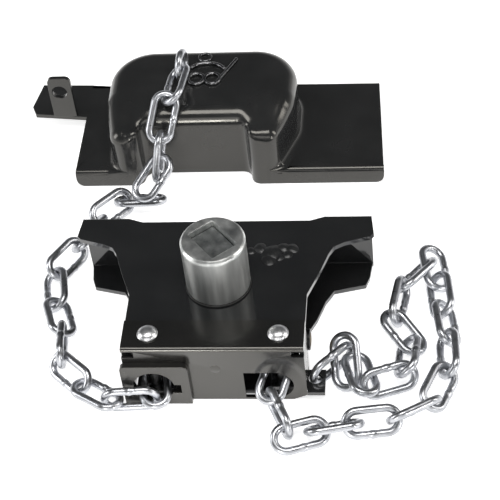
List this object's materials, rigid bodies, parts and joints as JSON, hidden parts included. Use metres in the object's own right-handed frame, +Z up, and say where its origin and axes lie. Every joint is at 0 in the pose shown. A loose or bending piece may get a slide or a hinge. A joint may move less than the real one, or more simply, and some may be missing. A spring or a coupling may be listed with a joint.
{
  "type": "trailer coupler lock",
  "caption": "Keyed coupler lock: black channel base with a steel post and front cover, safety chains on both sides, and a chained-on black hood with a domed crown.",
  "frame": {"origin": "on the post's axis, at the underside of the base", "axes": "+X to the lock's right, the side with the keyed barrel; +Y towards the base's wings and the hood, away from the front cover; +Z up along the post"},
  "size_m": [0.3672, 0.3948, 0.1007],
  "materials": {
    "black_paint": "satin black powder coat over folded steel plate",
    "turned_steel": "turned bright steel with fine lengthwise streaks",
    "bright_zinc": "bright zinc plating",
    "dark_steel": "plain dark steel",
    "black_rubber": "matt black seal",
    "brass": "machined brass"
  },
  "bodies": {
    "base": {"channel_body": "black_paint", "front_cover": "black_paint", "chain_plate": "black_paint", "left_pin": "bright_zinc", "anchor_tab": "black_paint", "tab_pad": "black_paint", "coupler_post": "turned_steel", "socket_bar": "dark_steel", "post_ring": "black_rubber", "core_column": "dark_steel", "rib_plates": "black_paint", "plug_weld": "black_paint", "lock_bracket": "dark_steel", "lock_barrel": "bright_zinc", "barrel_nut": "bright_zinc", "dog_guide": "dark_steel", "guide_screws": "bright_zinc", "right_chain_front": "bright_zinc", "right_chain_side": "bright_zinc", "right_chain_end": "bright_zinc", "left_chain_front": "bright_zinc", "left_chain_back": "bright_zinc"},
    "lift_pin": {"lock_pin": "bright_zinc"},
    "key_cylinder": {"key_plug": "brass", "cam_crank": "bright_zinc"},
    "dog": {"lock_dog": "dark_steel"},
    "hood": {"hood_plate": "black_paint", "hood_dome": "black_paint", "lug_plate": "black_paint", "crown_eye": "bright_zinc", "pin_clip": "dark_steel", "clip_ring": "dark_steel", "hood_chain": "bright_zinc"}
  },
  "joints": [
    {"name": "lock_pin_lift", "type": "slide", "parent": "base", "child": "lift_pin", "axis": [0, 0, 1], "range_m": [0, 0.05]},
    {"name": "key_turn", "type": "hinge", "parent": "base", "child": "key_cylinder", "pos_m": [0.05, -0.03, 0.024], "axis": [1, 0, 0], "range_deg": [0, 90]},
    {"name": "dog_slide", "type": "slide", "parent": "base", "child": "dog", "axis": [0, -1, 0], "range_m": [0, 0.00425]},
    {"name": "hood_lift", "type": "slide", "parent": "base", "child": "hood", "axis": [0, 0, 1], "range_m": [0, 0.15]}
  ],
  "couplings": [
    {"joint": "dog_slide", "follows": "key_turn", "m_per_rad": 0.0027}
  ]
}
